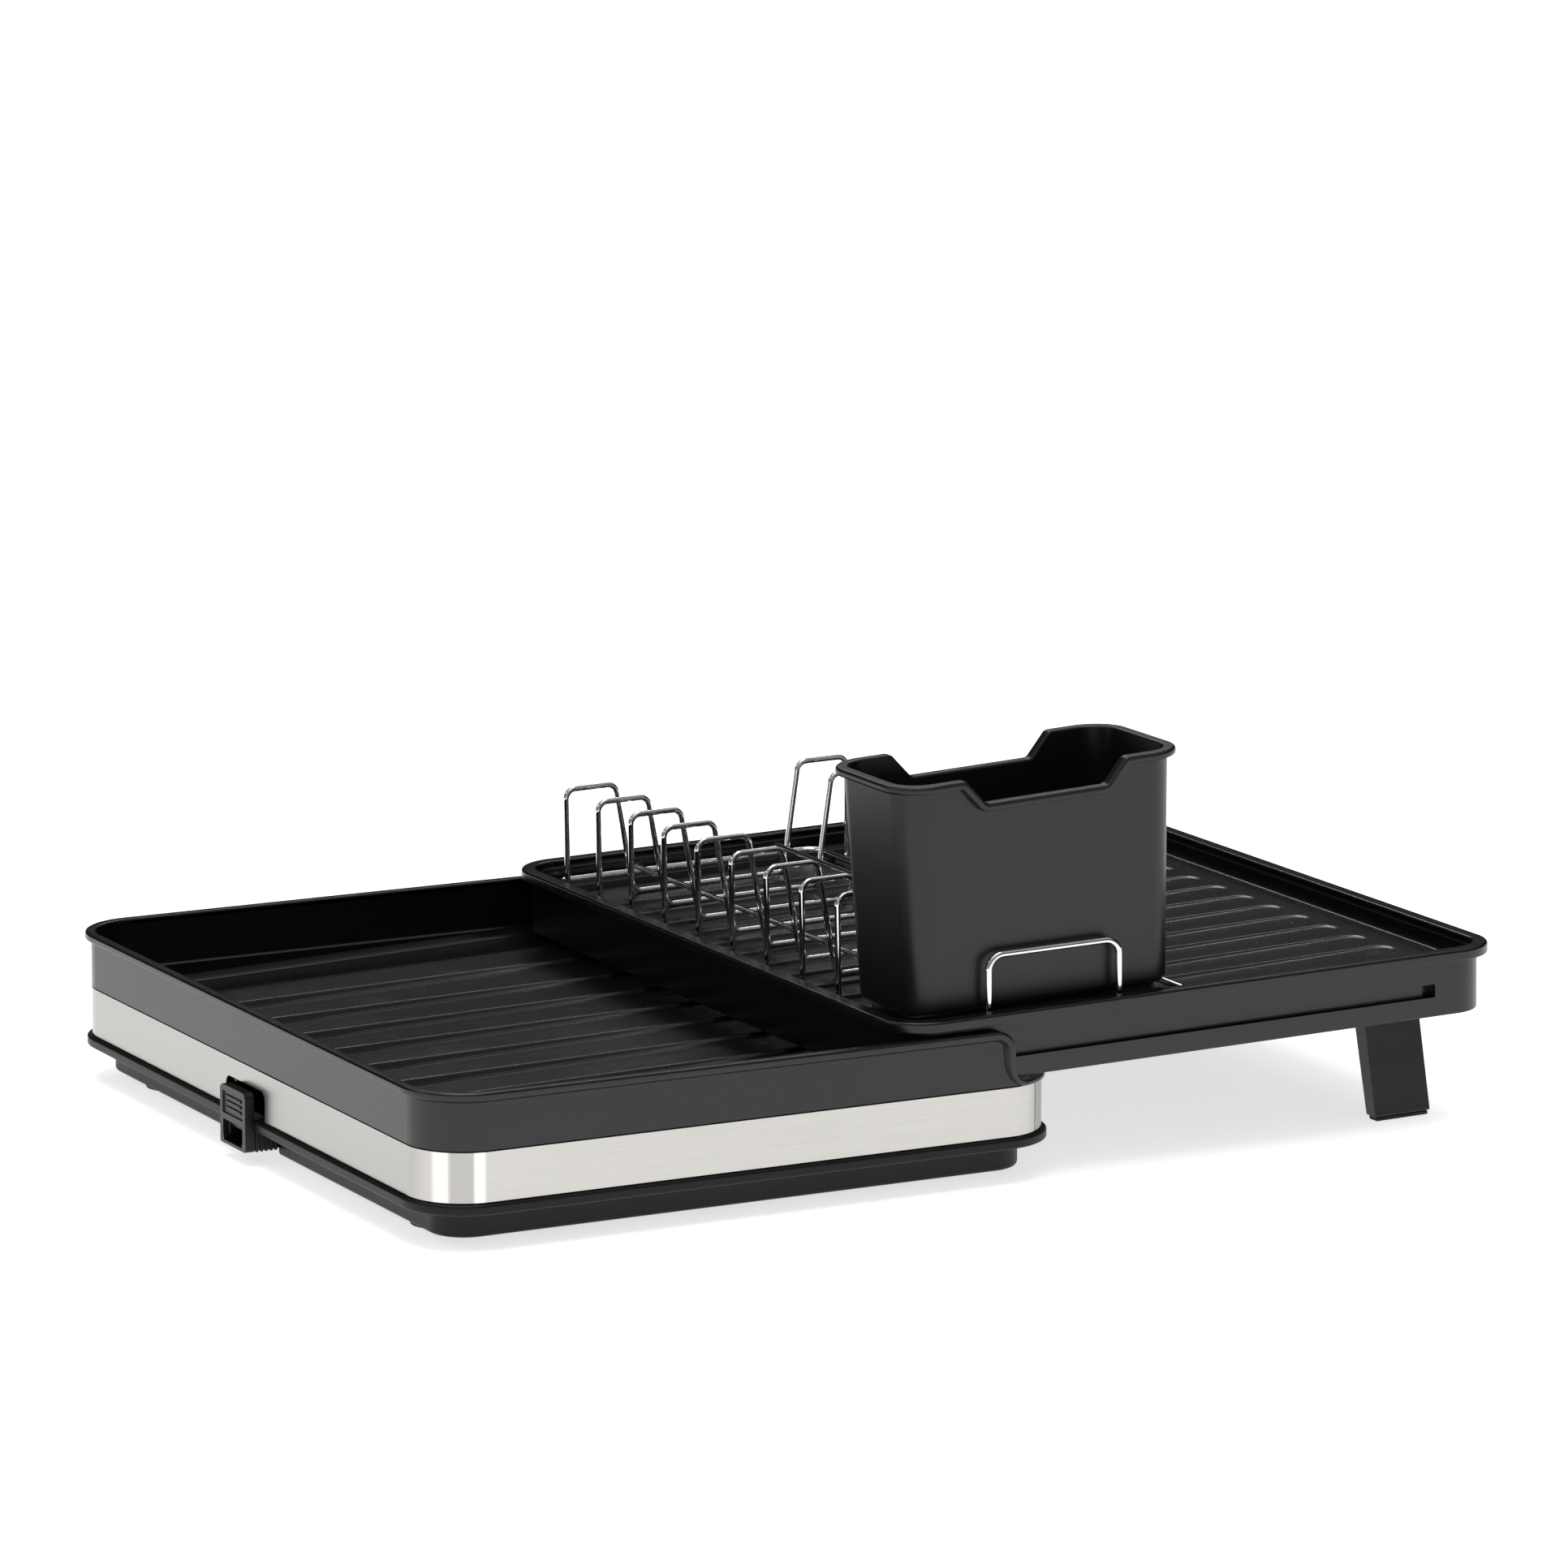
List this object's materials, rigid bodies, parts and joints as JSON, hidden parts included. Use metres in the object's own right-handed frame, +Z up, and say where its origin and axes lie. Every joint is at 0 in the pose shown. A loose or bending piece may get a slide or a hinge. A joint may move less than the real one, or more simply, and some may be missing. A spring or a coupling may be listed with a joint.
{
  "type": "extendable dish drying rack",
  "caption": "Dish drying rack: ribbed drip basin with a steel band and drain spout, a sliding drainer tray on folding legs, a chrome plate rack and a cutlery holder.",
  "frame": {"origin": "middle of the footprint of the extended rack, on the counter that it stands on", "axes": "+X along the slide, from the drip basin to the sliding tray; +Y from the cutlery holder's side to the back; +Z up"},
  "size_m": [0.5195, 0.3786, 0.1775],
  "materials": {
    "basin": "satin black",
    "base": "satin black",
    "band": "brushed stainless steel",
    "spout": "satin black",
    "pins": "satin black",
    "foot": "matt rubber",
    "tray": "satin black",
    "leg": "satin black",
    "axle": "plain steel pin",
    "pad": "matt rubber",
    "wire": "polished chrome plated wire",
    "cap": "matt rubber",
    "holder": "satin black"
  },
  "bodies": {
    "base": {"lower_basin": "basin", "base_pan": "base", "steel_band": "band", "foot_front_left": "foot", "foot_front_right": "foot", "foot_rear_left": "foot", "foot_rear_right": "foot"},
    "spout": {"drain_spout": "spout"},
    "guide_pins": {"guide_pin_front": "pins", "guide_pin_rear": "pins"},
    "tray": {"upper_tray": "tray", "leg_pin_front": "axle", "leg_pin_rear": "axle"},
    "front_leg": {"leg_front": "leg", "leg_pad_front": "pad"},
    "rear_leg": {"leg_rear": "leg", "leg_pad_rear": "pad"},
    "wire_rack": {"rack_frame": "wire", "rack_divider_1": "wire", "rack_divider_2": "wire", "rack_divider_3": "wire", "rack_divider_4": "wire", "rack_divider_5": "wire", "rack_divider_6": "wire", "rack_divider_7": "wire", "rack_divider_8": "wire", "rack_divider_9": "wire", "rack_rail_left": "wire", "rack_rail_right": "wire", "holder_loop": "wire", "rack_cap_front_left": "cap", "rack_cap_front_right": "cap", "rack_cap_rear_left": "cap", "rack_cap_rear_right": "cap"},
    "holder": {"cutlery_holder": "holder"}
  },
  "joints": [
    {"name": "tray_tilt", "type": "hinge", "parent": "base", "child": "guide_pins", "pos_m": [0.00233, 0, 0.05617], "axis": [0, -1, 0], "range_deg": [-1.12, 0]},
    {"name": "tray_slide", "type": "slide", "parent": "guide_pins", "child": "tray", "axis": [0.9998, 0, 0.0195], "range_m": [-0.165, 0]},
    {"name": "leg_front_fold", "type": "hinge", "parent": "tray", "child": "front_leg", "pos_m": [0.22226, -0.1481, 0.054], "axis": [-0.9998, 0, -0.0195], "range_deg": [-103, 0]},
    {"name": "leg_rear_fold", "type": "hinge", "parent": "tray", "child": "rear_leg", "pos_m": [0.22226, 0.1481, 0.054], "axis": [0.9998, 0, 0.0195], "range_deg": [-103, 0]},
    {"name": "spout_push", "type": "slide", "parent": "base", "child": "spout", "axis": [1, 0, 0], "range_m": [0, 0.0055]},
    {"name": "rack_lift", "type": "slide", "parent": "tray", "child": "wire_rack", "axis": [0, 0, 1], "range_m": [0, 0.05]},
    {"name": "holder_lift", "type": "slide", "parent": "wire_rack", "child": "holder", "axis": [0, 0, 1], "range_m": [0, 0.1]}
  ],
  "couplings": [
    {"joint": "tray_tilt", "follows": "tray_slide", "rad_per_m": 0.11818}
  ]
}
